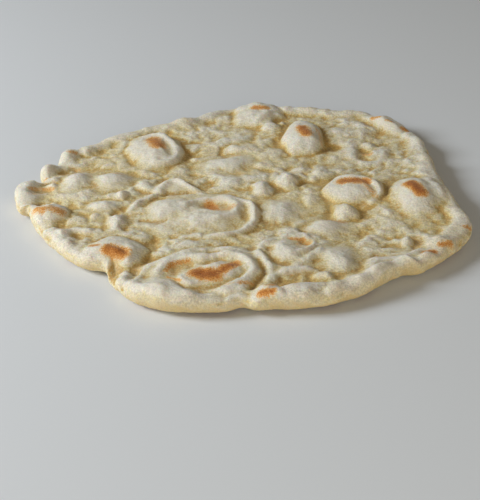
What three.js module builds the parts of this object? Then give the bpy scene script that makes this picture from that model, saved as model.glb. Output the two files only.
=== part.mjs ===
// A pan-baked pita: one thin round of risen dough, baked in one piece.
// Its top is puffed up into blisters, its edge is a soft rolled rim, and its
// underside is flat where it lay on the baking stone. +Z is up, -Y is the
// front, and the origin is on the floor under the middle of the bread.
import * as THREE from "three";

// Driving dimensions, mm
const WIDTH = 186; // across the widest place, left to right
const CRUMB_HEIGHT = 6.3; // top of the plain dough between the blisters
const RIM_HEIGHT = 7.8; // top of the rolled rim
const RIM_WIDTH = 9; // from the rim's top in to the plain dough
const RIM_ROUND = 4.4; // how far the rolled edge bulges out past its top
const RIM_LIFT = 1.3; // how far the baked edge curls up off the floor
const CURL_WIDTH = 9; // width of the band that curls up

// Fineness of the faceted solid
const TOP_RINGS = 30; // rings of facets from the middle to the rim
const EDGE_STEPS = 6; // facets round the rolled edge, from top to bottom

// The outline, [x, y] in hundredths of the width, from the right going anticlockwise.
// Most of the edge is a plain round; the left side has small lobes with notches
// between them, where blisters on the rim pushed it out.
const OUTLINE = [
  [47, 3], [46.4, 17], [45, 27], [40.3, 35], [36, 39.5], [33.5, 42],
  [24, 44], [17, 46], [9, 47.5], [4, 48], [-3, 46.2], [-11, 41],
  [-22, 37.3], [-32, 31], [-38, 25.2], [-40.2, 24.4], [-41.3, 22.5], [-42, 18.5],
  [-44.8, 16], [-45.2, 12.5], [-44, 9.2], [-46.8, 9.6], [-49, 8.6], [-50, 6],
  [-49.4, 1.5], [-48.2, -2.2], [-46, -3.2], [-44, -10], [-39, -19], [-33, -27],
  [-27.5, -29.3], [-26.5, -31], [-24.5, -37], [-19.5, -43], [-13, -45.8], [-4, -46.5],
  [0.5, -45.3], [4, -46.3], [15, -46.3], [24, -42.8], [33, -36], [37, -35],
  [44, -29], [48.5, -23], [50.2, -18], [49.2, -12.5], [47.8, -4],
];

// The blisters: centre, half sizes along and across, turn of the long side in
// degrees, height over the dough, and how far the middle has sunk back inside
// its raised lip.
const BLISTERS = [
  { name: "front double ring", x: -12.5, y: -65, long: 24, wide: 16, turn: 0, rise: 2.5, sunk: 1.2 },
  { name: "front inner cushion", x: -9, y: -69, long: 13, wide: 7, turn: 18, rise: 2, sunk: 0.5 },
  { name: "front swelling", x: -27, y: -77, long: 13, wide: 10, turn: -20, rise: 2.5, sunk: 0 },
  { name: "left of centre", x: -17, y: -20, long: 26, wide: 18, turn: -4, rise: 3, sunk: 0.8 },
  { name: "left of centre, inner", x: -9, y: -17, long: 13, wide: 9, turn: 0, rise: 1.5, sunk: 0.8 },
  { name: "left of centre, tent", x: -25, y: 4, long: 9, wide: 6, turn: -15, rise: 2, sunk: 0 },
  { name: "back left round", x: -34.5, y: 40, long: 13, wide: 18, turn: 8, rise: 4.5, sunk: 2 },
  { name: "back right dome", x: 31, y: 45, long: 10, wide: 17, turn: 0, rise: 6.7, sunk: 0 },
  { name: "back rim", x: 11.5, y: 74, long: 12.5, wide: 12, turn: 0, rise: 3.6, sunk: 0 },
  { name: "right oval", x: 48.5, y: -5, long: 12.5, wide: 12, turn: -8, rise: 4.6, sunk: 0.4 },
  { name: "right rim dome", x: 73.5, y: -13.5, long: 12.5, wide: 19, turn: -6, rise: 5.4, sunk: 0 },
  { name: "front left", x: -47, y: -50, long: 13.5, wide: 13, turn: -15, rise: 4.5, sunk: 1.2 },
  { name: "front right ring", x: 20.5, y: -53, long: 13, wide: 12, turn: 0, rise: 2.5, sunk: 0.8 },
  { name: "back right ring", x: 58, y: 33, long: 8, wide: 12, turn: 0, rise: 1.8, sunk: 1.2 },
  { name: "left rim", x: -75, y: -15.5, long: 9, wide: 8, turn: 5, rise: 3.8, sunk: 0 },
  { name: "left lobe, front", x: -85, y: 4, long: 8.5, wide: 7.5, turn: 70, rise: 2, sunk: 0 },
  { name: "left lobe, back", x: -80, y: 24, long: 7.5, wide: 4.5, turn: 75, rise: 2.2, sunk: 0 },
  { name: "front rim, left", x: 10.5, y: -84, long: 7, wide: 7, turn: 0, rise: 2, sunk: 0 },
  { name: "front rim, right", x: 24, y: -81, long: 10, wide: 6, turn: 6, rise: 2.2, sunk: 0 },
  { name: "front right mound", x: 38, y: -60, long: 8.5, wide: 11, turn: 0, rise: 2.4, sunk: 0 },
  { name: "small, right", x: 44, y: -23.5, long: 6.5, wide: 6, turn: 0, rise: 3.2, sunk: 0 },
  { name: "small, centre right", x: 35.5, y: -34.5, long: 10.5, wide: 7.5, turn: 26, rise: 2.7, sunk: 0 },
  { name: "small, left", x: -48, y: -24, long: 6, wide: 8, turn: 0, rise: 2.6, sunk: 0 },
  { name: "small, back left", x: -51.5, y: 12, long: 9.5, wide: 10, turn: -10, rise: 3.2, sunk: 0 },
  { name: "middle swell", x: -3, y: 25, long: 14, wide: 9, turn: 18, rise: 2.2, sunk: 0 },
  { name: "back right rim", x: 70, y: 57, long: 13, wide: 6, turn: -52, rise: 2, sunk: 0 },
];

const SINK_START = 0.62; // where the lip ends and the sunk middle starts, 0 middle to 1 foot

const smooth = THREE.MathUtils.smoothstep;

// The height one blister adds at a point.
function blisterHeight(blister, x, y) {
  const turn = THREE.MathUtils.degToRad(blister.turn);
  const along = (x - blister.x) * Math.cos(turn) + (y - blister.y) * Math.sin(turn);
  const across = (y - blister.y) * Math.cos(turn) - (x - blister.x) * Math.sin(turn);
  const out = Math.hypot(along / blister.long, across / blister.wide);
  const dome = 1 - smooth(out, 0.35, 1);
  const sink = 1 - smooth(out, 0.2, SINK_START);
  return blister.rise * dome - blister.sunk * sink;
}

// The top surface's height at a point that lies this far in from the edge.
function topHeight(x, y, inset) {
  const dough = RIM_HEIGHT + (CRUMB_HEIGHT - RIM_HEIGHT) * smooth(inset, 0, RIM_WIDTH);
  return BLISTERS.reduce((sum, blister) => sum + blisterHeight(blister, x, y), dough);
}

// The outline as a closed curve, mm.
function outlineCurve() {
  const points = OUTLINE.map(([x, y]) => new THREE.Vector3(x, y, 0).multiplyScalar(WIDTH / 100));
  const curve = new THREE.CatmullRomCurve3(points, true, "centripetal");
  curve.arcLengthDivisions = 2000;
  return curve;
}

// The closed surface of the bread: rings of facets over the top, each with six
// more points than the ring inside it, then bands round the rolled edge, the
// curled-up band underneath and the flat patch that it rests on.
function breadGeometry() {
  const curve = outlineCurve();
  const positions = [];
  const faces = [];
  const edgeCount = 6 * TOP_RINGS;
  const edge = Array.from({ length: edgeCount }, (_, i) => curve.getPointAt(i / edgeCount));

  const addPoint = (x, y, z) => positions.push(x, y, z) / 3 - 1;

  // A point of the edge moved in towards the middle by a distance.
  const insetPoint = (point, inset) => point.clone().multiplyScalar(1 - inset / point.length());

  // Joins two rings of the same count, the second one outside or below the first.
  const addBand = (first, second) => {
    first.forEach((a, i) => {
      const next = (i + 1) % first.length;
      faces.push(a, second[i], second[next], a, second[next], first[next]);
    });
  };

  // The top: ring k has 6k points, in six sectors.
  let inner = [addPoint(0, 0, topHeight(0, 0, WIDTH / 2))];
  for (let k = 1; k <= TOP_RINGS; k += 1) {
    const outer = [];
    for (let i = 0; i < 6 * k; i += 1) {
      const onEdge = curve.getPointAt(i / (6 * k));
      const rim = insetPoint(onEdge, RIM_ROUND);
      const p = rim.clone().multiplyScalar(k / TOP_RINGS);
      outer.push(addPoint(p.x, p.y, topHeight(p.x, p.y, rim.length() - p.length())));
    }
    for (let sector = 0; sector < 6; sector += 1) {
      for (let i = 0; i < k; i += 1) {
        const a = outer[sector * k + i];
        const b = outer[(sector * k + i + 1) % outer.length];
        const c = inner[(sector * (k - 1) + i) % inner.length];
        faces.push(a, b, c);
        if (i < k - 1) {
          const d = inner[(sector * (k - 1) + i + 1) % inner.length];
          faces.push(c, b, d);
        }
      }
    }
    inner = outer;
  }

  // The rolled edge: a half round from the top ring down to the curled underside.
  let above = inner;
  const rimTop = inner.map((index) => positions[3 * index + 2]);
  for (let step = 1; step <= EDGE_STEPS; step += 1) {
    const angle = Math.PI * (0.5 - step / EDGE_STEPS);
    const below = edge.map((point, i) => {
      const p = insetPoint(point, RIM_ROUND * (1 - Math.cos(angle)));
      const z = RIM_LIFT + (rimTop[i] - RIM_LIFT) * 0.5 * (1 + Math.sin(angle));
      return addPoint(p.x, p.y, z);
    });
    addBand(above, below);
    above = below;
  }

  // The underside: the curled band, then the flat patch as a fan.
  const restRing = edge.map((point) => {
    const p = insetPoint(point, RIM_ROUND + CURL_WIDTH);
    return addPoint(p.x, p.y, 0);
  });
  addBand(above, restRing);
  const middle = addPoint(0, 0, 0);
  restRing.forEach((a, i) => faces.push(a, middle, restRing[(i + 1) % edgeCount]));

  const geometry = new THREE.BufferGeometry();
  geometry.setAttribute("position", new THREE.Float32BufferAttribute(positions, 3));
  geometry.setIndex(faces);
  geometry.computeVertexNormals();
  return geometry;
}

// Moves the geometry so that the origin is on the floor under the middle of its box.
function centreOverOrigin(geometry) {
  geometry.computeBoundingBox();
  const { min, max } = geometry.boundingBox;
  geometry.translate(-(min.x + max.x) / 2, -(min.y + max.y) / 2, -min.z);
  return geometry;
}

const bakedDough = new THREE.MeshStandardMaterial({ color: 0xc8ae7c, roughness: 0.85, metalness: 0 });

const pitaBread = new THREE.Mesh(centreOverOrigin(breadGeometry()), bakedDough);
pitaBread.name = "pita_bread";

const part = new THREE.Group();
part.add(pitaBread);

export default part;
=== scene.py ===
"""One pan-baked pita: a thin round of dough with a blistered, toasted top and a soft rolled rim."""
import math

import bpy
import numpy as np
from mathutils import Matrix, Vector


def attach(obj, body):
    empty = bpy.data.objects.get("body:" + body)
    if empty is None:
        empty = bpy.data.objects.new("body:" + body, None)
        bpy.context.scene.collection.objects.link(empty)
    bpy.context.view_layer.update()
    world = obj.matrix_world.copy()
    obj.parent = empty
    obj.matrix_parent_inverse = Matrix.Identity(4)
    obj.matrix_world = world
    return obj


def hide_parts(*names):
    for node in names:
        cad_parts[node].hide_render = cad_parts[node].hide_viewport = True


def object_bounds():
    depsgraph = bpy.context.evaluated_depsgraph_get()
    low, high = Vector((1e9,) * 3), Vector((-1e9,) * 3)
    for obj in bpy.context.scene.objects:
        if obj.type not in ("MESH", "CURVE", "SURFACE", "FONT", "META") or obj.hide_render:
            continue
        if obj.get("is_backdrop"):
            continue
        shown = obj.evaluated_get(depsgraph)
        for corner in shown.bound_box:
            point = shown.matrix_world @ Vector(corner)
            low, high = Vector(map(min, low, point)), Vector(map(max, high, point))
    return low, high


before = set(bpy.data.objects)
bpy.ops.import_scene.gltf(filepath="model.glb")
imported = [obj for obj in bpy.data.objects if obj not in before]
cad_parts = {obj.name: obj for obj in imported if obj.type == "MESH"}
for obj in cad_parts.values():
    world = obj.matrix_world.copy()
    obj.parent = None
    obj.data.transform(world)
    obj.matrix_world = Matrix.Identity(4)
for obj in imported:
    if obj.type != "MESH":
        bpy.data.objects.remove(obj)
CAD_LOW, CAD_HIGH = (np.array(corner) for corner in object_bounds())

# ---------------------------------------------------------------------------
# Driving sizes. The dough is worked out in millimetres and made in metres.
# ---------------------------------------------------------------------------
MM = 0.001
WIDTH, DEPTH = ((CAD_HIGH - CAD_LOW) / MM)[:2]
PLAN = WIDTH / 186.0          # the tables below place things on a bread 186 mm wide

CRUMB_HEIGHT = 6.3            # top of the plain dough between the blisters
RIM_HEIGHT = 7.8              # top of the rolled rim
RIM_ROUND = 4.4               # how far the rolled edge bulges out past its top
RIM_WIDTH = 7.0               # from the rim's crest in to the plain dough
RIM_LIFT = 1.3                # how far the baked edge curls up off the floor
CURL_WIDTH = 9.0              # width of the band that curls up
UNDER_INSET = 1.2             # how much further in the underside starts than the rim's top
EVEN_BULGE = 0.8              # the edge's mean bulge, as a share of RIM_ROUND
UNDER_DIMPLE = 0.5            # depth of the dents in the underside
OVAL_WOBBLE = 0.03            # how far an oval blister or dent strays from a true oval
TOP_LEVEL = 3.0               # every point higher than this is on the top or the rim

TOP_RINGS = 144               # rings of faces from the middle to the rim
UNDER_RINGS = 72              # the same, underneath
EDGE_STEPS = 12               # faces round the rolled edge
PATH_STEPS = 4                # straight steps from one point of a path to the next
OUTLINE_STEPS = 40            # the same, for the outline

# The outline in hundredths of the width, from the right going anticlockwise.
OUTLINE = [
    (47, 3), (46.4, 17), (45, 27), (40.3, 35), (36, 39.5), (33.5, 42),
    (24, 44), (17, 46), (9, 47.5), (4, 48), (-3, 46.2), (-11, 41),
    (-22, 37.3), (-32, 31), (-38, 25.2), (-40.2, 24.4), (-41.3, 22.5), (-42, 18.5),
    (-44.8, 16), (-45.2, 12.5), (-44, 9.9), (-46.8, 9.2), (-49, 8.4), (-50, 6),
    (-49.4, 1.5), (-48.2, -2.2), (-46, -3.2), (-44, -10), (-39, -19), (-33, -27),
    (-27.5, -29.3), (-26.5, -31), (-24.5, -37), (-19.5, -43), (-13, -45.8), (-4, -46.5),
    (0.5, -45.3), (4, -46.3), (15, -46.3), (24, -42.8), (33, -36), (37, -35),
    (44, -29), (48.5, -23), (50.2, -18), (49.2, -12.5), (47.8, -4),
]

# Puffed-up blisters: x, y, half length, half width, turn in degrees, rise, and
# how soft the foot is (0.5 is a half ball, 1 a low cap, 2 fades into the dough).
BLISTERS = [
    (-12.5, -65, 25, 17, 0, 1, 0.8),          # front, the sheet under the double ring
    (-9.3, -69.2, 13.4, 7.2, 18, 2.6, 0.8),   # front, inner cushion
    (-27.5, -77, 14.4, 11.5, -20, 3, 2.1),    # front, smooth swelling before the rings
    (-17, -20.5, 26, 19, -4, 1.8, 0.8),       # left of centre, the raised sheet
    (-27.5, -15.5, 9.2, 12.1, 0, 2.2, 1.6),   # left of centre, mounds on the sheet
    (-13.5, -25, 12.6, 10.3, 15, 1.3, 2),
    (-24.5, 4.5, 9.2, 6.9, -15, 1.6, 2),      # left of centre, the tent behind it
    (-34.5, 40, 13, 18.5, 8, 4, 0.8),         # back left, round
    (31, 46.5, 9.8, 17.5, 0, 5.7, 0.62),      # back right dome
    (11.5, 74, 12.5, 12.5, 0, 3.6, 0.9),      # on the back rim
    (17.4, 61, 5.5, 6.9, 0, 2.2, 1.9),        # small one before it
    (48.7, -5, 12.8, 12, -6, 4, 0.5),         # right oval
    (73.5, -13.5, 12.5, 19, -6, 5.6, 1.2),    # big dome by the right rim
    (-46, -48.5, 13, 12, -12, 3.9, 0.8),      # front left
    (20.5, -53, 13, 12, 0, 1.3, 0.8),         # front right, ringed
    (18.5, -54.5, 6.9, 9.8, 0, 1.6, 1.9),
    (59.5, 38, 5.2, 5.2, 0, 1.2, 2.2),        # back right, lump beside the small ring
    (-75, -15.5, 8.8, 8.2, 5, 4, 0.8),        # on the left rim
    (11.5, -78.8, 4.8, 3.9, 10, 1.8, 1.9),    # front rim pair
    (23, -80, 9, 5, 8, 2.4, 0.9),
    (10.5, -86, 7.6, 6, 0, 2, 2),
    (31.5, -71.5, 4.8, 4.1, 0, 1.3, 2.1),
    (24.8, -85, 4.4, 3.7, 0, 1.4, 2.1),
    (34, -83, 5.2, 4.1, 0, 1.5, 2.4),
    (44, -77, 6.3, 5.2, 0, 1.6, 2.4),
    (38, -60, 9.2, 13.2, 0, 2.4, 2.1),        # front right mound
    (33, -55, 5.8, 6.3, 0, 0.7, 2.4),
    (44, -23.5, 6.2, 6, 0, 3.2, 0.9),         # small round ones on the right
    (35.5, -34.5, 12.1, 8.6, 26, 2.7, 2),
    (22.5, 6, 6.4, 7.8, 0, 2.4, 2.1),
    (11.5, -1.5, 6.4, 8.3, 0, 2.4, 2.1),
    (17.5, -20, 10.9, 12.1, 0, 2.1, 2.2),
    (-2, 6, 6.7, 9.2, 0, 1.9, 2.2),
    (14, 22, 5.8, 4.8, 0, 1.3, 2.2),
    (29.5, 16, 5.3, 4.1, 0, 1.3, 2.2),
    (65, -47.5, 3.8, 3.8, 0, 1.2, 1.9),
    (75, -50.5, 5.8, 4.6, 15, 1.4, 2.2),
    (71.5, -62.5, 5.3, 4.6, 0, 2.2, 2.1),
    (79, -57.5, 4.8, 4.6, 0, 2.2, 2.1),
    (52, -70, 9.2, 5.2, 38, 1.6, 2.4),
    (-18, -85, 6.5, 4.5, 0, 1.5, 1.6),        # knobs on the front rim
    (-5, -87, 6, 4, 0, 1.4, 1.6),
    (61, -65.5, 5, 4.5, 30, 1.6, 1.6),
    (-53, -10, 8.6, 6, 0, 2.2, 2.1),          # lumps on the left
    (-47.5, -25, 6, 9.2, 0, 2.7, 2.1),
    (-56.5, -18.5, 2.5, 3.9, 0, 1.1, 2.1),
    (-66, 13.5, 9.2, 12.6, -20, 2.8, 2.1),
    (-51.5, 12, 10.6, 11.5, -10, 3.3, 2),
    (-36, 7, 6.4, 8.5, 0, 1.8, 2.2),
    (-46, -2.5, 2.6, 5.3, 0, 1.8, 2.1),
    (-3, 25, 14.9, 10.3, 18, 2.2, 2.1),
    (-67, -42, 5.5, 5.8, 0, 1.7, 2.1),
    (-75, -4.5, 2.8, 2.5, 0, 1, 2.2),
    (-80, 24, 8.7, 4.8, 75, 2.2, 1.9),        # left lobes
    (-85, 4, 9.8, 8.6, 70, 2, 2.1),
    (-73, 38, 8, 6.3, 40, 1.8, 2.1),
    (70, 57, 14.9, 5.8, -52, 2, 2.1),         # roll on the back right rim
    (77.5, 46.5, 4.6, 4.6, 0, 1.2, 2.2),
    (83, 22, 4.1, 5.8, 0, 1.2, 2.2),
]

# Lips, folds and creases: points, height (minus is a crease), half width, and
# lean, which is above 0 where the right-hand side of the path is the steep one.
RIDGES = [
    # front double ring: the collar, the thin lip round its right side, the sheet's edge
    ([(-30, -69), (-28.5, -63), (-25.5, -58.3), (-20, -56), (-12, -56.3), (-4.5, -55.6), (0.5, -57),
      (4, -61.3), (5.2, -66), (4, -71), (0, -75), (-6, -78.5), (-14, -80.5)], 2.2, 2.7, 0.2),
    ([(5.5, -51), (8.5, -55.5), (11, -60.5), (12, -66), (11.2, -72), (8, -79.5)], 1.4, 2.1, -0.2),
    ([(-38, -74), (-36.6, -66), (-34, -60), (-29, -56.2), (-22, -52), (-12, -50.2), (-1, -50.5),
      (6, -55.5)], 1.1, 2.2, 0.1),
    ([(-5, -81.5), (1, -79.5), (6, -74.5)], 0.6, 1.3, 0),
    ([(-4, -60.5), (-9, -63.5), (-14, -63.5), (-19, -66), (-21, -70), (-17.5, -74.5), (-11, -76)],
     0.7, 1.6, 0),
    ([(-15, -80.5), (-9, -81.2), (-2, -82.5), (5, -82.5)], -0.8, 1.6, 0),
    ([(-29, -70), (-25, -71), (-21.5, -74.5), (-17.5, -81)], -0.5, 1.3, 0),
    ([(8, -58), (8.9, -63), (8.6, -69), (6.4, -75), (3, -80)], -0.6, 1.3, 0),
    # left of centre: the long fold, its foot, the inner basin's lip, the sheet's right lip
    ([(-43, -18), (-41.5, -12.5), (-38, -6.5), (-33, -1), (-30, 5), (-26.5, 8.5), (-22, 6.5),
      (-16.5, 1.5), (-12, -3)], 1.7, 1.9, 0.1),
    ([(-36, -0.5), (-29, -1.2), (-20, -0.8), (-11, -0.5)], -0.9, 1.2, 0),
    ([(-21.5, -21), (-19.8, -14.5), (-14.5, -9.8), (-7, -9.5), (-1.5, -12), (1.7, -18), (-1, -23.3),
      (-7, -26.5), (-14, -30)], 1.1, 2, 0),
    ([(-8, -6.5), (0, -9.5), (6, -14), (8.3, -20.5), (7.8, -27.5), (3.5, -34), (-4, -38),
      (-13, -39.6)], 1.7, 1.8, -0.3),
    ([(-39, -9), (-36.2, -3.5), (-33.5, -0.8)], -0.6, 1.2, 0),
    ([(-13, -37.5), (-19, -37.2), (-26, -40.5)], 0.9, 1.6, 0),
    ([(-39, -22), (-33, -24.2), (-26, -25.5)], -0.9, 1.7, 0),
    # back left: collar round the sunk middle
    ([(-39, 55), (-33.5, 54), (-28.5, 49.5), (-24.8, 42), (-23.8, 34.5), (-26, 28.5), (-31, 26.3),
      (-36.5, 28)], 1.3, 2, -0.1),
    # back rim, right oval, right dome
    ([(17, 75.5), (15.8, 70.5), (11, 67)], 0.6, 1.7, 0),
    ([(42, 3.5), (48, 3), (54, 1.2), (58, -4), (59.3, -10), (56.5, -15), (51, -17)], 0.9, 1.3, -0.1),
    ([(54.5, -3), (56.3, -7), (56.5, -11.5), (53, -15)], -0.5, 1.5, 0),
    ([(69, -2), (67, -10), (65.3, -17), (64, -24)], -0.4, 1.6, 0),
    ([(77.5, 0), (79.5, -10), (79.8, -17), (78.5, -25)], -0.5, 1.8, 0),
    # front right: ring, inner lip, folds towards the rim
    ([(8.2, -54), (9.5, -49), (14, -43.5), (21, -40.8), (28, -41.8), (32.3, -46), (32.3, -50.5),
      (29.5, -56.5), (24, -62.3), (17.5, -65.5), (11, -62), (8.2, -54)], 0.9, 2.2, 0),
    ([(26, -43), (29, -46), (29.4, -49.5), (27, -53), (22.5, -55.5)], 1.2, 1.3, 0),
    ([(12.5, -75), (14.3, -70.5), (18, -68.2), (23, -67.8), (29, -67)], 1.4, 1.8, 0.2),
    ([(16.5, -84), (16.8, -88), (16.5, -94)], -0.9, 1.5, 0),
    ([(1, -94), (1.8, -88), (4.5, -83)], -1, 1.6, 0),
    # back right: the broken ring
    ([(54.5, 45), (52.3, 40), (51.4, 34), (51.8, 27.5), (54.5, 23), (59.5, 21)], 0.6, 2.2, 0),
    ([(64.8, 36), (65.4, 31), (64, 25.5), (60.5, 21.5)], 0.7, 1.9, 0),
    # right, before the rim: yellow hollow with a thin lip, and small folds
    ([(50, -57), (58, -56.5), (64, -53.5), (69, -48), (68.5, -42)], -1.3, 2.6, 0),
    ([(55, -56.5), (60.5, -56), (64, -53.5), (66, -50.5)], 0.7, 1.4, 0),
    ([(47, -47.5), (49.5, -44.5), (52, -42.2), (55, -43)], 0.6, 1.7, 0),
    ([(60.5, -44), (60.7, -49.5)], 0.4, 1.4, 0),
    ([(46.5, -77.5), (51, -72), (57, -67), (64, -63)], 1.1, 2.4, 0),
    ([(48, -68.5), (52, -63.5), (58, -61), (66, -57.5), (71, -54)], 1, 1.8, 0.3),
    # front left: collar, curl at the notch, ridges by the left rim
    ([(-52, -50), (-49, -53.3), (-45.5, -56), (-42.3, -56.8), (-40, -54), (-39.8, -49.5),
      (-42, -45.5)], 0.6, 1.6, 0),
    ([(-50, -61), (-46, -61.7), (-41, -63.4), (-37, -67)], 0.7, 1.5, 0),
    ([(-37, -59), (-38.6, -66), (-40, -72)], -1, 1.8, 0),
    ([(-70, -33), (-66.5, -30.8), (-62.5, -28.8), (-56, -31.5)], 1.7, 2.2, 0),
    ([(-58.5, -34.5), (-58, -39.5)], 1.1, 1.3, 0),
    ([(-79, -25), (-73, -26), (-67, -26)], -0.9, 1.4, 0),
    # between the left lobes
    ([(-88, -5), (-80, -4.5), (-71, -6.5)], -1.4, 2, 0),
    ([(-85, 15.5), (-78, 14), (-72, 15)], -1.4, 1.8, 0),
    ([(-80, 31), (-73, 29.5), (-67, 26)], -1, 1.8, 0),
]

# Places where the skin has sunk: x, y, half length, half width, turn, depth.
SUNK = [
    (-9.3, -69.4, 9.5, 3.4, 18, 0.6),
    (-7.5, -15.5, 8.5, 5, -8, 1.2),
    (4, -21, 3.2, 8.5, 5, 0.5),
    (-28.6, 40, 3.2, 9, 12, 0.6),
    (27, -46.5, 3.4, 3.2, 0, 1.1),
    (13.5, -52, 2.4, 2.4, 0, 0.9),
    (58, 31, 5.5, 8, 0, 0.8),
    (-45.8, -50.2, 5.2, 4.6, -15, 0.7),
    (-50.5, -57.5, 11.5, 8.5, -50, 4.4),
    (14.8, -77.8, 1.8, 1.6, 0, 1),
    (59, -50, 5, 4, 0, 1),
    (43, 38, 5.5, 5, 0, 1),
    (-82, 6, 6, 2.4, 20, 0.9),
]

# The broad swell of the whole bread, and the rim's ups and downs: size, height and seed.
BROAD_SWELL = (34, 0.8, 1)
RIM_WAVES = [
    (13, 1.4, 41),
    (6.5, 0.7, 42),
]

# The plain crust's own puffing: size, height and seed, from broad to fine.
PUFFING = [
    (24, 3.0, 30),
    (12.5, 1.45, 31),
    (7.2, 0.7, 32),
    (4.6, 0.35, 33),
]
RIM_PUFFING = 0.4             # share of the puffing that the rim has
INNER_PUFFING = 0.6           # share that comes on top of it inside the rim
SKIN_SMOOTHING = 0.72         # share that a blister's smooth skin loses
BACK_SMOOTHING = 0.3          # share that the back right of the bread loses

# Its soft dimpling, which the blisters have too: size, height and seed.
DIMPLING = [
    (5.0, 0.32, 36),
    (3.1, 0.26, 34),
    (1.9, 0.2, 35),
]
RIM_DIMPLING = 0.7            # the same shares for the dimpling
INNER_DIMPLING = 0.3
SKIN_EVENING = 0.35

# Bubbles scattered over the crust: spacing, radius, rise, how soft the foot is,
# and seed, from broad lumps down to pimples.
SMALL_BLISTERS = [
    (15.0, 8.0, 1.1, 1.6, 11),
    (9.0, 4.8, 0.52, 1.5, 12),
    (6.0, 3.0, 0.34, 1.1, 13),
    (4.0, 2.0, 0.2, 1.0, 14),
    (2.6, 1.3, 0.14, 1.0, 15),
]

# Toasted patches: points along the middle of the patch, half width, strength.
TOASTED = [
    ([(-15, -68.6), (-12.5, -70.4), (-8.8, -70.6)], 3.9, 1),      # front inner cushion
    ([(-8.8, -70.6), (-5.5, -68.4), (-3, -65.6), (-1, -63.4)], 2.6, 0.85),
    ([(-26.3, -64), (-25.2, -61), (-22.5, -59), (-18, -58.2)], 1.2, 0.5),
    ([(-22.5, -62), (-17, -60.5)], 2.4, 0.14),
    ([(-25.8, -68.5), (-23.2, -70.5), (-20.6, -73.5)], 0.7, 0.5),
    ([(0.8, -76.5), (4.7, -75.2)], 1.3, 0.42),
    ([(-9, -79), (-5.8, -78), (-2, -76.5)], 1.2, 0.22),
    ([(-10.3, -13.5), (-8.6, -16.8)], 3, 0.75),                   # left of centre
    ([(-7.5, -20), (-4, -18.8), (-1, -17)], 2.4, 0.36),
    ([(-35.6, 47), (-33, 40)], 4.2, 0.75),                        # back left
    ([(31.2, 48.5), (32.4, 43)], 3.4, 0.85),                      # back right dome
    ([(37.6, 50), (39, 44), (39, 39)], 1.5, 0.3),
    ([(10.5, 78), (16, 77.6)], 2.4, 0.62),                        # back rim
    ([(44.6, -2), (48.5, -2.4), (53, -3)], 3.4, 0.85),            # right oval
    ([(53.5, -6.5), (55.5, -9.5), (56.5, -13)], 2, 0.34),
    ([(71, -10), (72.6, -13.5), (74.2, -17.5)], 3.3, 1),          # right dome
    ([(-48, -49.8), (-45.5, -50.8), (-43.2, -52)], 3.7, 0.85),    # front left
    ([(-55.6, -44.8), (-53, -46.3)], 1.6, 0.6),
    ([(20.6, -44.3), (25.5, -44.7)], 1.4, 0.5),                   # front right ring
    ([(24, -48.5), (27.5, -46.8)], 2.3, 0.34),
    ([(57.2, 32.2), (59.3, 31.4)], 2, 0.45),                      # small ring
    ([(-79.5, -16), (-77, -17.5)], 2.4, 0.6),                     # left rim
    ([(-73.5, -16.5), (-70, -17.5)], 2.8, 0.5),
    ([(10.8, -79.3), (12.6, -78)], 2.2, 0.65),                    # front rim
    ([(18.5, -77.3), (22.5, -76.8), (28, -77)], 1.7, 0.6),
    ([(7.8, -84), (12, -84.3)], 1.8, 0.8),
    ([(70.3, -58), (73.3, -58)], 1.6, 0.85),
    ([(76.6, -54), (80.3, -52.5)], 1.7, 0.62),
    ([(88, -39.7), (90.5, -39)], 1.3, 0.5),
    ([(64.2, 64.5), (67.5, 62.5)], 1.3, 0.55),
    ([(70, 58.5), (72.5, 57)], 1.2, 0.5),
    ([(76.5, 53.5), (79, 51.5)], 1.6, 0.7),
    ([(38.3, -30.3), (41.5, -30.8)], 1.9, 0.42),
    ([(-72, 38.6), (-69.5, 39.5)], 1.6, 0.42),
    ([(-50.5, 16), (-48.3, 16.5)], 1.7, 0.4),
    ([(-69, 27.5), (-67, 27.3)], 1.5, 0.3),
    ([(-81.5, 17), (-79.8, 18)], 1.5, 0.5),
    ([(-85.5, 6.5), (-83, 8.5)], 1.6, 0.4),
    ([(-81, 9.5), (-76, 7.5)], 1.6, 0.42),
    ([(-83.5, 3), (-82, 3.2)], 1.2, 0.35),
    ([(-0.6, 33), (2.9, 32.5)], 1.6, 0.3),
    ([(4.6, 14), (1.7, 17)], 2.6, 0.2),
]


# ---------------------------------------------------------------------------
# Shape rules
# ---------------------------------------------------------------------------
def smooth(value, low, high):
    """0 below low, 1 above high, and an S-curve between them."""
    t = np.clip((value - low) / (high - low), 0.0, 1.0)
    return t * t * (3.0 - 2.0 * t)


def uneven(x, y, size, seed):
    """Soft unevenness, roughly between -1 and 1, with lumps of about this size."""
    cells = int(260 / size) + 4          # enough to cover the bread at any turn
    slope = np.random.default_rng(seed).uniform(0, 2 * np.pi, (cells, cells))
    turned_x, turned_y = 0.8 * x - 0.6 * y, 0.6 * x + 0.8 * y
    u, v = turned_x / size + cells / 2, turned_y / size + cells / 2
    i, j = np.floor(u).astype(int), np.floor(v).astype(int)
    fu, fv = u - i, v - j
    su, sv = smooth(fu, 0, 1), smooth(fv, 0, 1)

    def corner(di, dj):
        turn = slope[np.clip(i + di, 0, cells - 1), np.clip(j + dj, 0, cells - 1)]
        return np.cos(turn) * (fu - di) + np.sin(turn) * (fv - dj)

    near = corner(0, 0) * (1 - su) + corner(1, 0) * su
    far = corner(0, 1) * (1 - su) + corner(1, 1) * su
    return 1.6 * (near * (1 - sv) + far * sv)


def puffed(x, y, size, seed):
    """Unevenness with round tops and narrow creases between them, about 0 to 1."""
    return np.sqrt(uneven(x, y, size, seed) ** 2 + 0.02)


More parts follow.
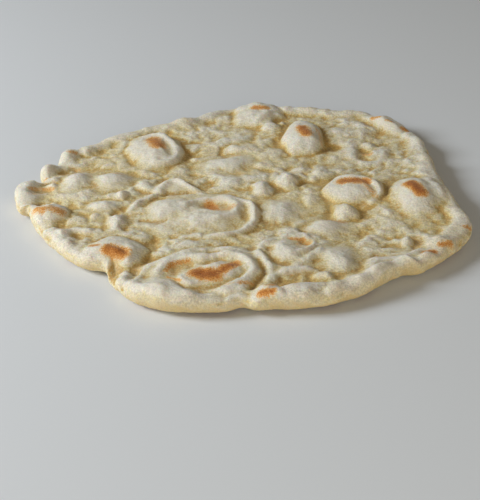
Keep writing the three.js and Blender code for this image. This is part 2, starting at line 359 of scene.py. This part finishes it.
def oval(x, y, place):
    """How far out a point is in a slightly wobbly oval, 0 in the middle and 1 on its line."""
    centre_x, centre_y, long, wide, turn = place[:5]
    c, s = math.cos(math.radians(turn)), math.sin(math.radians(turn))
    along = (x - centre_x) * c + (y - centre_y) * s
    across = (y - centre_y) * c - (x - centre_x) * s
    angle = np.arctan2(across / wide, along / long)
    shake = (np.sin(3 * angle + centre_x) + 0.7 * np.sin(5 * angle + centre_y)
             + 0.5 * np.sin(2 * angle + centre_x * centre_y))
    return np.hypot(along / long, across / wide) * (1 + OVAL_WOBBLE * shake)


def blister(x, y, place):
    """A puffed-up cap, which runs out more softly towards the front of the bread."""
    _, centre_y, _, wide, _, rise, foot = place
    foot = foot * (1 + 0.45 * smooth((centre_y - y) / wide, -0.1, 0.9))
    return rise * np.clip(1 - oval(x, y, place) ** 2, 0, 1) ** foot


def sunk(x, y, place):
    """A shallow dent with a soft brim."""
    depth = place[5]
    return -depth * (1 - smooth(oval(x, y, place), 0.35, 1.1))


def curve(before, start, end, after, t):
    """Points of the smooth curve from start to end, given the points on either side."""
    return 0.5 * (2 * start + (end - before) * t
                  + (2 * before - 5 * start + 4 * end - after) * t**2
                  + (3 * start - before - 3 * end + after) * t**3)


def along_path(points):
    """Points at close steps along the smooth curve through the points of a path."""
    keys = np.array([points[0], *points, points[-1]], dtype=float)
    if points[0] == points[-1]:
        keys[0], keys[-1] = points[-2], points[1]
    t = np.linspace(0, 1, PATH_STEPS, endpoint=False)[:, None]
    steps = [curve(*four, t) for four in zip(keys[:-3], keys[1:-2], keys[2:-1], keys[3:])]
    return np.vstack([*steps, keys[-2:-1]])


def beside_path(x, y, path):
    """Distance to a path, minus on its left side, and how far along it that is, 0 to 1."""
    best, side, share = np.full(x.shape, np.inf), np.ones(x.shape), np.zeros(x.shape)
    for k, ((ax, ay), (bx, by)) in enumerate(zip(path[:-1], path[1:])):
        ux, uy = bx - ax, by - ay
        t = np.clip(((x - ax) * ux + (y - ay) * uy) / (ux * ux + uy * uy), 0, 1)
        dx, dy = x - ax - t * ux, y - ay - t * uy
        away = np.hypot(dx, dy)
        nearer = away < best
        best = np.where(nearer, away, best)
        side = np.where(nearer, np.where(ux * dy - uy * dx > 0, -1.0, 1.0), side)
        share = np.where(nearer, (k + t) / (len(path) - 1), share)
    return best * side, share


def ridge(x, y, points, height, half_width, lean):
    """A soft rope-like lip or a crease along a path, which fades out unless it closes on itself."""
    away, share = beside_path(x, y, along_path(points))
    width = half_width * (1 - lean * np.sign(away))
    rope = height * np.exp(-((away / width) ** 2)) * (1 + 0.15 * uneven(x, y, 7, 40))
    if points[0] == points[-1]:
        return rope
    return rope * smooth(share, -0.05, 0.16) * (1 - smooth(share, 0.84, 1.05))


def calmness(x, y, full=0.85, none=1.2):
    """1 on the smooth skin of the larger blisters, 0 on the plain, pimply crust."""
    result = np.zeros(x.shape)
    for place in BLISTERS:
        _, _, long, _, _, rise, _ = place
        share = min(1.0, long / 9.5) ** 3 * min(1.0, rise / 1.8)
        result = np.maximum(result, share * (1 - smooth(oval(x, y, place), full, none)))
    for points, height, half_width, _ in RIDGES:
        away = np.abs(beside_path(x, y, along_path(points))[0]) / half_width
        result = np.maximum(result, 0.7 * min(1.0, abs(height)) * (1 - smooth(away, 0.6, 1.7)))
    return result


def top_height(x, y, inset):
    """Height of the crust over the floor, in mm, before the small blisters are added."""
    x, y = x / PLAN, y / PLAN
    from_rim = smooth(inset, 0.1 * RIM_WIDTH, RIM_WIDTH)
    rim_height = RIM_HEIGHT
    for size, rise, seed in RIM_WAVES:
        rim_height = rim_height + rise * uneven(x, y, size, seed)
    height = rim_height + (CRUMB_HEIGHT - rim_height) * from_rim
    size, rise, seed = BROAD_SWELL
    height = height + rise * uneven(x, y, size, seed)

    calm = calmness(x, y)
    rough = (RIM_PUFFING + INNER_PUFFING * from_rim) * (0.9 + 0.5 * uneven(x, y, 22, 20))
    rough = rough * (1 - BACK_SMOOTHING * smooth(x + y, 20, 90))
    rough = rough * (1 - SKIN_SMOOTHING * calm)
    sway_x, sway_y = 1.3 * uneven(x, y, 9, 21), 1.3 * uneven(x, y, 9, 22)
    for size, rise, seed in PUFFING:
        height = height + rough * rise * (puffed(x + sway_x, y + sway_y, size, seed) - 0.3)
    dimpled = (1 - SKIN_EVENING * calm) * (RIM_DIMPLING + INNER_DIMPLING * from_rim)
    dimpled = dimpled * (0.9 + 0.5 * uneven(x, y, 17, 23))
    for size, rise, seed in DIMPLING:
        height = height + dimpled * rise * uneven(x, y, size, seed)

    x, y = x + 0.7 * sway_x, y + 0.7 * sway_y
    raised = sum(blister(x, y, place) for place in BLISTERS)
    raised = raised + sum(ridge(x, y, *given) for given in RIDGES)
    raised = raised + sum(sunk(x, y, place) for place in SUNK)
    return height + raised


def lumpiness(x, y, inset):
    """How strongly the small blisters show: full on the plain top, little on smooth skin."""
    patches = 0.7 + 0.5 * uneven(x, y, 20, 9)
    return smooth(inset, 0.0, 8.0) * patches * (1 - 0.65 * calmness(x / PLAN, y / PLAN))


def toasting(x, y):
    """0 where the crust is pale, up to 1 where it is toasted brown."""
    x, y = x / PLAN, y / PLAN
    result = np.zeros(x.shape)
    for points, half_width, strength in TOASTED:
        away = np.abs(beside_path(x, y, np.array(points, dtype=float))[0]) / half_width
        away = away * (1 + 0.12 * uneven(x, y, 2.2, 3))
        result = np.maximum(result, strength * (1 - smooth(away, 0.1, 1.5)))
    return result


# ---------------------------------------------------------------------------
# The mesh of the whole bread
# ---------------------------------------------------------------------------
def outline_points(count):
    """Points at even steps along the smooth closed outline, fitted to the box of the parts from
    model.glb.
    """
    keys = np.array(OUTLINE) * (WIDTH / 100)
    t = np.linspace(0, 1, OUTLINE_STEPS, endpoint=False)[:, None, None]
    bend = curve(np.roll(keys, 1, 0), keys, np.roll(keys, -1, 0), np.roll(keys, -2, 0), t)
    dense = bend.transpose(1, 0, 2).reshape(-1, 2)
    middle = (dense.min(0) + dense.max(0)) / 2
    dense = (dense - middle) * np.array([WIDTH, DEPTH]) / (dense.max(0) - dense.min(0))
    dense = dense + (CAD_LOW + CAD_HIGH)[:2] / 2 / MM
    closed = np.vstack([dense, dense[:1]])
    length = np.concatenate([[0], np.cumsum(np.hypot(*np.diff(closed, axis=0).T))])
    wanted = np.linspace(0, length[-1], count, endpoint=False)
    return np.column_stack([np.interp(wanted, length, closed[:, k]) for k in (0, 1)])


def moved_in(points, distance):
    """The points moved towards the middle by a distance."""
    size = np.hypot(*points.T)[:, None]
    return points * (1 - distance / size)


def disc(rings, edge_inset):
    """Points, insets and triangles of a disc inside the outline, and its outermost ring.

    Ring k has 6k points, and an inset is how far a point lies in from that outermost ring.
    """
    points, insets, faces = [np.zeros((1, 2))], [np.array([np.inf])], []
    start, inner = 0, np.array([0])
    for k in range(1, rings + 1):
        rim = moved_in(outline_points(6 * k), edge_inset)
        points.append(rim * k / rings)
        insets.append(np.hypot(*rim.T) * (1 - k / rings))
        start += len(inner)
        outer = start + np.arange(6 * k)
        sector, i = np.divmod(np.arange(6 * k), k)
        a, b = outer, np.roll(outer, -1)
        c = inner[(sector * (k - 1) + i) % len(inner)]
        faces.append(np.column_stack([a, b, c]))
        if k > 1:
            keep = i < k - 1
            d = inner[(sector * (k - 1) + i + 1) % len(inner)]
            faces.append(np.column_stack([c, b, d])[keep])
        inner = outer
    return np.vstack(points), np.concatenate(insets), np.vstack(faces), inner


class Skin:
    """The points and triangles of the closed skin, gathered layer by layer, in mm."""

    def __init__(self):
        self.layers = []
        self.faces = []
        self.count = 0

    def add_points(self, xy, z):
        """Adds a layer of points and gives back their numbers."""
        numbers = self.count + np.arange(len(xy))
        self.layers.append(np.column_stack([xy, z]))
        self.count += len(xy)
        return numbers

    def add_faces(self, *corners):
        """Adds a band of triangles, given the points at each of their three corners."""
        self.faces.append(np.column_stack(corners))

    def mesh(self, name):
        made = bpy.data.meshes.new(name)
        made.from_pydata((np.vstack(self.layers) * MM).tolist(), [], np.vstack(self.faces).tolist())
        made.validate()
        return made


def add_rolled_edge(skin, rim, rim_top):
    """Bands round the bulging edge, from the top's outermost ring down to the lowest one."""
    edge = outline_points(len(rim))
    edge_x, edge_y = edge.T
    wave = uneven(edge_x, edge_y, 9, 5) + 0.5 * uneven(edge_x, edge_y, 4.5, 6)
    above = rim
    for step in range(1, EDGE_STEPS + 1):
        angle = math.pi * (0.5 - step / EDGE_STEPS)
        height = RIM_LIFT + (rim_top - RIM_LIFT) * 0.5 * (1 + math.sin(angle))
        lump_x, lump_y = edge_x + 0.9 * height, edge_y - 0.9 * height
        lump = 0.16 * uneven(lump_x, lump_y, 6.5, 51) + 0.1 * uneven(lump_x, lump_y, 3.2, 52)
        bulge = math.cos(angle) ** 0.9 * (EVEN_BULGE + 0.1 * wave + lump)
        below = skin.add_points(moved_in(edge, RIM_ROUND * (1 - bulge[:, None])), height)
        skin.add_faces(above, below, np.roll(below, -1))
        skin.add_faces(above, np.roll(below, -1), np.roll(above, -1))
        above = below
    return above


def add_underside(skin, lowest):
    """The flat, dented underside, which curls up towards the edge's lowest ring.

    It is a coarser disc than the top: each of its outer faces spans two of the edge's.
    """
    xy, inset, faces, ring = disc(UNDER_RINGS, RIM_ROUND + UNDER_INSET)
    x, y = xy.T
    curl = RIM_LIFT * (1 - smooth(inset, 0, CURL_WIDTH)) ** 1.5
    dimple = np.clip(uneven(x, y, 11, 7) + 0.3 * uneven(x, y, 4, 8), 0, 1)
    numbers = skin.add_points(xy, curl + UNDER_DIMPLE * dimple)
    skin.faces.append(numbers[faces[:, ::-1]])
    start, middle = lowest[0::2], lowest[1::2]
    end = np.roll(start, -1)
    under, next_under = numbers[ring], np.roll(numbers[ring], -1)
    skin.add_faces(start, under, middle)
    skin.add_faces(middle, under, next_under)
    skin.add_faces(middle, next_under, end)


def bread_mesh():
    """The closed skin of the bread: the top, the rolled edge and the underside."""
    skin = Skin()
    xy, inset, faces, rim = disc(TOP_RINGS, RIM_ROUND)
    x, y = xy.T
    z = top_height(x, y, inset)
    skin.add_points(xy, z)
    skin.faces.append(faces)
    lowest = add_rolled_edge(skin, rim, z[rim])
    add_underside(skin, lowest)
    mesh = skin.mesh("pita_bread_skin")
    lumpy = np.zeros(skin.count)
    lumpy[:len(xy)] = lumpiness(x, y, inset)
    store(mesh, "lumpy", lumpy)
    return mesh


def positions(mesh):
    flat = np.empty(len(mesh.vertices) * 3)
    mesh.vertices.foreach_get("co", flat)
    return flat.reshape(-1, 3) / MM


def normals(mesh):
    flat = np.empty(len(mesh.vertices) * 3)
    mesh.vertex_normals.foreach_get("vector", flat)
    return flat.reshape(-1, 3)


def store(mesh, name, values):
    """Keeps one number for each point of the mesh under a name."""
    attribute = mesh.attributes.new(name, "FLOAT", "POINT")
    attribute.data.foreach_set("value", np.asarray(values, dtype=np.float32))


# ---------------------------------------------------------------------------
# Short calls for building trees of nodes
# ---------------------------------------------------------------------------
class Nodes:
    """Adds nodes to one tree. A value may be a plain number or colour, or another node's output."""

    def __init__(self, tree):
        self.nodes = tree.nodes
        self.links = tree.links

    def node(self, kind, **settings):
        made = self.nodes.new(kind)
        for key, value in settings.items():
            setattr(made, key, value)
        return made

    def set(self, socket, value):
        if isinstance(value, bpy.types.NodeSocket):
            self.links.new(value, socket)
        else:
            socket.default_value = value

    def math(self, operation, a, b, clamp=False):
        made = self.node("ShaderNodeMath", operation=operation, use_clamp=clamp)
        self.set(made.inputs[0], a)
        self.set(made.inputs[1], b)
        return made.outputs[0]

    def vector(self, operation, a, b):
        """The same for places and directions; SCALE takes a plain number as b."""
        made = self.node("ShaderNodeVectorMath", operation=operation)
        self.set(made.inputs[0], a)
        self.set(made.inputs["Scale" if operation == "SCALE" else 1], b)
        return made.outputs["Value" if operation == "DISTANCE" else "Vector"]


class Finish(Nodes):
    """A material, with calls for the patterns and mixes that its colour needs."""

    def __init__(self, name):
        self.material = bpy.data.materials.new(name)
        self.material.use_nodes = True
        super().__init__(self.material.node_tree)
        self.nodes.clear()
        self.place = self.node("ShaderNodeTexCoord").outputs["Object"]

    def attribute(self, name):
        return self.node("ShaderNodeAttribute", attribute_name=name).outputs["Fac"]

    def noise(self, size_mm, detail, roughness=0.55):
        made = self.node("ShaderNodeTexNoise")
        self.set(made.inputs["Vector"], self.place)
        self.set(made.inputs["Scale"], 1 / (size_mm * MM))
        self.set(made.inputs["Detail"], detail)
        self.set(made.inputs["Roughness"], roughness)
        return made.outputs["Fac"]

    def off_middle(self, pattern, amount):
        """A 0 to 1 pattern shifted to lie around 0, times an amount."""
        return self.math("MULTIPLY", self.math("SUBTRACT", pattern, 0.5), amount)

    def between(self, value, low, high, to_low=0.0, to_high=1.0):
        """Goes softly from to_low to to_high as the value goes from low to high."""
        made = self.node("ShaderNodeMapRange", interpolation_type="SMOOTHSTEP")
        for name, number in (("Value", value), ("From Min", low), ("From Max", high),
                             ("To Min", to_low), ("To Max", to_high)):
            self.set(made.inputs[name], number)
        return made.outputs["Result"]

    def mix(self, share, a, b, blend="MIX"):
        """Colour a turned into colour b by a share; the node's colour sockets go by number only."""
        made = self.node("ShaderNodeMix", data_type="RGBA", blend_type=blend)
        self.set(made.inputs["Factor"], share)
        self.set(made.inputs[6], a)
        self.set(made.inputs[7], b)
        return made.outputs[2]

    def ramp(self, value, stops):
        made = self.node("ShaderNodeValToRGB")
        self.set(made.inputs["Fac"], value)
        elements = made.color_ramp.elements
        while len(elements) < len(stops):
            elements.new(0.5)
        for element, (position, colour) in zip(elements, stops):
            element.position = position
            element.color = colour
        return made.outputs["Color"]

    def bump(self, pattern, strength, depth_mm, normal=None):
        made = self.node("ShaderNodeBump")
        self.set(made.inputs["Height"], pattern)
        self.set(made.inputs["Strength"], strength)
        self.set(made.inputs["Distance"], depth_mm * MM)
        if normal is not None:
            self.set(made.inputs["Normal"], normal)
        return made.outputs["Normal"]

    def surface(self, colour, roughness):
        """The one shader of the material, joined to its output."""
        skin = self.node("ShaderNodeBsdfPrincipled")
        self.set(skin.inputs["Base Color"], colour)
        self.set(skin.inputs["Roughness"], roughness)
        out = self.node("ShaderNodeOutputMaterial")
        self.links.new(skin.outputs[0], out.inputs["Surface"])
        return skin.inputs


def rgb(red, green, blue):
    """A colour given as 0-255 screen values, as a linear RGBA."""
    def linear(value):
        value /= 255
        return value / 12.92 if value <= 0.04045 else ((value + 0.055) / 1.055) ** 2.4
    return (linear(red), linear(green), linear(blue), 1.0)


# ---------------------------------------------------------------------------
# Small blisters and pimples, scattered over the crust
# ---------------------------------------------------------------------------
BLISTER_DENSITY = 4.0e5       # places offered to each square metre, before the spacing thins them
SMALLEST_SHARE = 0.35         # the smallest bubble of a set, as a share of its largest


def small_blister_tree(crust):
    """Geometry nodes that raise a round bubble at each of a set of scattered points."""
    tree = bpy.data.node_groups.new("small_blisters", "GeometryNodeTree")
    face = tree.interface
    face.new_socket("Dough", in_out="INPUT", socket_type="NodeSocketGeometry")
    for name in ("Spacing", "Radius", "Rise", "Foot"):
        face.new_socket(name, in_out="INPUT", socket_type="NodeSocketFloat")
    face.new_socket("Seed", in_out="INPUT", socket_type="NodeSocketInt")
    face.new_socket("Dough", in_out="OUTPUT", socket_type="NodeSocketGeometry")

    n = Nodes(tree)
    given = n.node("NodeGroupInput").outputs
    place = n.node("GeometryNodeInputPosition").outputs[0]

    scatter = n.node("GeometryNodeDistributePointsOnFaces", distribute_method="POISSON")
    n.set(scatter.inputs["Mesh"], given["Dough"])
    n.set(scatter.inputs["Distance Min"], given["Spacing"])
    n.set(scatter.inputs["Density Max"], BLISTER_DENSITY)
    n.set(scatter.inputs["Seed"], given["Seed"])

    # Each place of the crust is moved about a little first, so that no bubble is quite round.
    noise = n.node("ShaderNodeTexNoise")
    n.set(noise.inputs["Scale"], n.math("DIVIDE", 0.8, given["Spacing"]))
    n.set(noise.inputs["Detail"], 1.0)
    sway = n.vector("SUBTRACT", noise.outputs["Color"], (0.5, 0.5, 0.5))
    asked = n.vector("ADD", place, n.vector("SCALE", sway, n.math("MULTIPLY", given["Radius"], 1.6)))

    nearest = n.node("GeometryNodeSampleNearest", domain="POINT")
    n.set(nearest.inputs["Geometry"], scatter.outputs["Points"])
    n.set(nearest.inputs["Sample Position"], asked)

    def of_nearest(value, data_type):
        """What the scattered point nearest to the asked place has."""
        made = n.node("GeometryNodeSampleIndex", data_type=data_type, domain="POINT")
        n.set(made.inputs["Geometry"], scatter.outputs["Points"])
        n.set(made.inputs["Value"], value)
        n.set(made.inputs["Index"], nearest.outputs["Index"])
        return made.outputs["Value"]

    luck = n.node("FunctionNodeRandomValue", data_type="FLOAT")
    n.set(luck.inputs["Min"], SMALLEST_SHARE)
    n.set(luck.inputs["Max"], 1.0)
    n.set(luck.inputs["Seed"], given["Seed"])
    size = of_nearest(luck.outputs["Value"], "FLOAT")

    away = n.vector("DISTANCE", asked, of_nearest(place, "FLOAT_VECTOR"))
    out = n.math("DIVIDE", away, n.math("MULTIPLY", given["Radius"], size))
    cap = n.math("SUBTRACT", 1.0, n.math("MULTIPLY", out, out), clamp=True)
    cap = n.math("POWER", cap, given["Foot"])
    rise = n.math("MULTIPLY", cap, n.math("MULTIPLY", given["Rise"], size))
    lumpy = n.node("GeometryNodeInputNamedAttribute", data_type="FLOAT")
    n.set(lumpy.inputs["Name"], "lumpy")
    rise = n.math("MULTIPLY", rise, lumpy.outputs["Attribute"])

    outwards = n.node("GeometryNodeInputNormal").outputs[0]
    raised = n.node("GeometryNodeSetPosition")
    n.set(raised.inputs["Geometry"], given["Dough"])
    n.set(raised.inputs["Offset"], n.vector("SCALE", outwards, rise))
    real = n.node("GeometryNodeRealizeInstances")
    n.set(real.inputs[0], raised.outputs[0])
    finish = n.node("GeometryNodeSetMaterial")
    n.set(finish.inputs["Geometry"], real.outputs[0])
    n.set(finish.inputs["Material"], crust)
    n.set(n.node("NodeGroupOutput").inputs["Dough"], finish.outputs[0])
    return tree


def raise_small_blisters(piece, crust):
    """Puts each set of small blisters on the piece, and turns the result into its plain mesh."""
    tree = small_blister_tree(crust)
    sockets = {item.name: item.identifier for item in tree.interface.items_tree if item.in_out == "INPUT"}
    for number, (spacing, radius, rise, foot, seed) in enumerate(SMALL_BLISTERS):
        layer = piece.modifiers.new("small_blisters_%d" % number, "NODES")
        layer.node_group = tree
        layer[sockets["Spacing"]] = spacing * MM
        layer[sockets["Radius"]] = radius * MM
        layer[sockets["Rise"]] = rise * MM
        layer[sockets["Foot"]] = foot
        layer[sockets["Seed"]] = seed
    bpy.context.view_layer.update()
    evaluated = piece.evaluated_get(bpy.context.evaluated_depsgraph_get())
    plain = bpy.data.meshes.new_from_object(evaluated)
    piece.modifiers.clear()
    piece.data = plain


# ---------------------------------------------------------------------------
# What the crust's colour follows
# ---------------------------------------------------------------------------
GRID_REACH = 110              # the averaging grid's 1 mm squares reach this far from the middle
SMOOTHINGS = (1.2, 3.0, 8.0)  # mm over which the crust is averaged, to find its crests and hollows
CREST_HEIGHTS = (1.0, 1.7, 5.0)  # mm over each average that count as 1


def averaged(x, y, values, reach):
    """The values averaged over a round neighbourhood of each point, reach in mm."""
    cells = 2 * GRID_REACH + 1
    x, y = x + GRID_REACH, y + GRID_REACH
    spot = np.rint(y).astype(int) * cells + np.rint(x).astype(int)
    steps = np.arange(-int(3 * reach), int(3 * reach) + 1)
    weight = np.exp(-0.5 * (steps / reach) ** 2)

    def spread(amounts):
        grid = np.bincount(spot, amounts, cells * cells).reshape(cells, cells)
        grid = np.array([np.convolve(line, weight, "same") for line in grid])
        return np.array([np.convolve(line, weight, "same") for line in grid.T]).T

    means = spread(values) / np.maximum(spread(np.ones(len(values))), 1e-9)
    i, j = np.floor(x).astype(int), np.floor(y).astype(int)
    fu, fv = x - i, y - j
    near = means[j, i] * (1 - fu) + means[j, i + 1] * fu
    far = means[j + 1, i] * (1 - fu) + means[j + 1, i + 1] * fu
    return near * (1 - fv) + far * fv


def cresting(x, y, z):
    """How far each point of the crust stands over its surroundings, near and wide, around 0."""
    levels = [z] + [averaged(x, y, z, reach) for reach in SMOOTHINGS]
    return sum((finer - broader) / full for finer, broader, full in
               zip(levels[:-1], levels[1:], CREST_HEIGHTS))


def store_baking(mesh):
    """Keeps what the colour follows: crests, steep flanks, toast, flour, the side and the underside."""
    x, y, z = positions(mesh).T
    up = normals(mesh)[:, 2]
    on_top = smooth(up, 0.25, 0.75)
    top = z > TOP_LEVEL
    crest = np.zeros(len(z))
    crest[top] = cresting(x[top], y[top], z[top])
    # Low places get darker ochre in the colour, partly painted shade.
    store(mesh, "crest", np.clip(0.5 + crest * on_top, 0, 1))
    # How steep the top is: its steep flanks turn ochre in the colour, partly painted shade.
    store(mesh, "flank_shade", smooth(1 - up, 0.04, 0.5) * on_top)
    store(mesh, "toast", toasting(x, y) * smooth(up, -0.1, 0.3))
    store(mesh, "floury", calmness(x / PLAN, y / PLAN, 0.5, 1.05) * on_top)
    # The side of the rolled edge, warmer towards its bottom in the colour, partly painted shade.
    store(mesh, "side", smooth(-up, -0.35, 0.5))
    store(mesh, "under", smooth(-up, 0.7, 0.98))
    mesh.attributes.remove(mesh.attributes["lumpy"])


# ---------------------------------------------------------------------------
# The crust's material
# ---------------------------------------------------------------------------
# Ochre for the steep flanks, partly painted shade.
OCHRE_FLANK_SHADE = rgb(206, 170, 90)
DULL_YELLOW = rgb(216, 194, 128)
# Warm cream for the side of the rolled edge, partly painted shade.
WARM_CREAM_SIDE_SHADE = rgb(220, 190, 122)
FLOUR = rgb(226, 220, 204)
PALE_PAN_SIDE = rgb(224, 200, 150)
FLOOR_GREY = rgb(226, 230, 236)

# Crumb colours from hollow to crest: the ochre of the hollows is partly the dough's own colour and partly
# painted shade.
CRUMB_WITH_HOLLOW_SHADE = [(0.0, rgb(198, 161, 91)), (0.18, rgb(214, 194, 140)),
         (0.4, rgb(224, 212, 176)), (0.85, rgb(230, 225, 211))]        # hollow to crest
TOAST = [(0.1, rgb(230, 204, 152)), (0.32, rgb(229, 182, 110)),
         (0.62, rgb(210, 142, 66)), (0.98, rgb(162, 92, 28))]          # hardly toasted to brown
PAN_MARKS = [(0.42, rgb(226, 208, 162)), (0.52, rgb(206, 162, 96)),
             (0.64, rgb(160, 98, 48)), (0.76, rgb(112, 62, 30))]       # pale to scorched


def baked_crust():
    """Pale baked dough: floury on its crests, toasted on its blisters; its ochre hollows and flanks are
    partly painted shade.
    """
    s = Finish("baked_crust")
    fine, grain, patch, broad = s.noise(0.9, 4), s.noise(0.35, 2), s.noise(6, 3), s.noise(28, 2)
    floury = s.attribute("floury")
    side = s.attribute("side")

    # The crumb: paler towards its crests, with flour on the smooth skin and yellower patches
    # Its ochre hollows are partly the dough's own colour and partly painted shade.
    crest = s.math("ADD", s.attribute("crest"), s.off_middle(patch, 0.4))
    crest = s.math("ADD", crest, s.off_middle(fine, 0.8))
    colour = s.ramp(crest, CRUMB_WITH_HOLLOW_SHADE)
    # Steep flanks turn ochre, partly the dough's own colour and partly painted shade.
    flank_shade = s.math("MULTIPLY", s.attribute("flank_shade"), s.between(patch, 0.3, 0.7, 0.05, 0.4))
    colour = s.mix(flank_shade, colour, OCHRE_FLANK_SHADE)
    flour = s.math("MULTIPLY", floury, s.between(fine, 0.3, 0.7, 0.05, 0.3))
    colour = s.mix(flour, colour, FLOUR)
    yellow = s.math("MULTIPLY", s.between(broad, 0.42, 0.65, 0.0, 0.25),
                    s.between(floury, 0.0, 0.6, 1.0, 0.0))
    colour = s.mix(yellow, colour, DULL_YELLOW)
    # The side of the rolled edge turns warmer towards its bottom, partly its own colour and partly
    # painted shade.
    colour = s.mix(s.math("MULTIPLY", side, 0.75), colour, WARM_CREAM_SIDE_SHADE)

    # Light and dark grain, weaker on the smooth skin and round the side
    grain_light = s.between(s.noise(0.75, 3, 0.8), 0.3, 0.7, 0.76, 1.16)
    grain_share = s.between(floury, 0.2, 0.9, 1.0, 0.6)
    grain_share = s.math("MULTIPLY", grain_share, s.between(side, 0.0, 0.8, 1.0, 0.45))
    colour = s.mix(grain_share, colour, grain_light, "MULTIPLY")

    # Toasted patches, with a speckled edge
    toast = s.attribute("toast")
    speckle = s.off_middle(s.noise(0.6, 4, 0.8), 2.0)
    speckle = s.math("MULTIPLY", speckle, s.between(toast, 0.0, 0.3))
    brown = s.math("ADD", toast, speckle, clamp=True)
    colour = s.mix(s.between(brown, 0.04, 0.5), colour, s.ramp(brown, TOAST))

    # The underside, browned where it touched the pan
    pan_side = s.ramp(s.noise(15, 4, 0.6), PAN_MARKS)
    pan_side = s.mix(s.between(fine, 0.35, 0.65, 0.0, 0.35), pan_side, PALE_PAN_SIDE)
    colour = s.mix(s.attribute("under"), colour, pan_side)

    skin = s.surface(colour, s.between(crest, 0.1, 0.8, 0.55, 0.82))
    s.set(skin["Subsurface Weight"], 0.32)
    s.set(skin["Subsurface Radius"], (1.0, 0.6, 0.25))
    s.set(skin["Subsurface Scale"], 0.003)
    s.set(skin["Specular IOR Level"], 0.35)
    s.set(skin["Sheen Weight"], 0.12)
    s.set(skin["Normal"], s.bump(grain, 0.5, 0.12, s.bump(fine, 0.8, 0.4)))
    return s.material


# ---------------------------------------------------------------------------
# The bread
# ---------------------------------------------------------------------------
def make_bread():
    crust = baked_crust()
    mesh = bread_mesh()
    mesh.materials.append(crust)
    piece = bpy.data.objects.new("pita", mesh)
    bpy.context.scene.collection.objects.link(piece)
    raise_small_blisters(piece, crust)
    store_baking(piece.data)
    piece.data.shade_smooth()
    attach(piece, "root")
    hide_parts("pita_bread")


# ---------------------------------------------------------------------------
# Stage: pale floor, soft studio light, camera
# ---------------------------------------------------------------------------
def make_floor():
    s = Finish("pale_floor")
    s.surface(FLOOR_GREY, 0.6)
    half, level = 3.0, CAD_LOW[2]
    mesh = bpy.data.meshes.new("floor")
    corners = [(-half, -half, level), (half, -half, level), (half, half, level), (-half, half, level)]
    mesh.from_pydata(corners, [], [(0, 1, 2, 3)])
    mesh.materials.append(s.material)
    floor = bpy.data.objects.new("floor", mesh)
    bpy.context.scene.collection.objects.link(floor)
    floor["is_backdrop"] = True


def soft_light(name, place, power, size, colour):
    """A square soft box at a place, facing the bread."""
    lamp = bpy.data.lights.new(name, "AREA")
    lamp.energy = power
    lamp.size = size
    lamp.color = colour
    holder = bpy.data.objects.new(name, lamp)
    holder.location = place
    holder.rotation_euler = (-Vector(place)).to_track_quat("-Z", "Y").to_euler()
    bpy.context.scene.collection.objects.link(holder)


def make_light():
    """Cool light from the left, and a warm, weaker light and dim glow from the room."""
    soft_light("window", (-0.9, 0.0, 0.5), 10.2, 0.4, (0.94, 0.98, 1.0))
    soft_light("room", (0.2, -0.95, 0.24), 4.4, 0.7, (1.0, 0.94, 0.82))
    world = bpy.data.worlds.new("studio")
    world.use_nodes = True
    back = world.node_tree.nodes["Background"]
    back.inputs["Color"].default_value = (1.0, 0.87, 0.65, 1.0)
    back.inputs["Strength"].default_value = 0.13
    bpy.context.scene.world = world
    bpy.context.scene.view_settings.view_transform = "Standard"


def make_camera():
    """Looks down on the bread's front edge, tipped slightly to one side."""
    elevation, roll = math.radians(29.8), math.radians(-2.3)
    distance = 2.62 * WIDTH * MM
    aim = Vector((0.0012, -0.434 * DEPTH / 2 * MM, 0.0))
    back = Vector((0, -math.cos(elevation), math.sin(elevation)))
    right, up = Vector((1, 0, 0)), Vector((0, math.sin(elevation), math.cos(elevation)))
    tipped_right = math.cos(roll) * right + math.sin(roll) * up
    tipped_up = -math.sin(roll) * right + math.cos(roll) * up
    turned = Matrix((tipped_right, tipped_up, back)).transposed()
    lens = bpy.data.cameras.new("camera")
    lens.lens = 90.0
    lens.sensor_width = 36.0
    lens.clip_start = 0.01
    camera = bpy.data.objects.new("camera", lens)
    camera.matrix_world = Matrix.Translation(aim + back * distance) @ turned.to_4x4()
    bpy.context.scene.collection.objects.link(camera)
    bpy.context.scene.camera = camera


make_bread()
make_floor()
make_light()
make_camera()
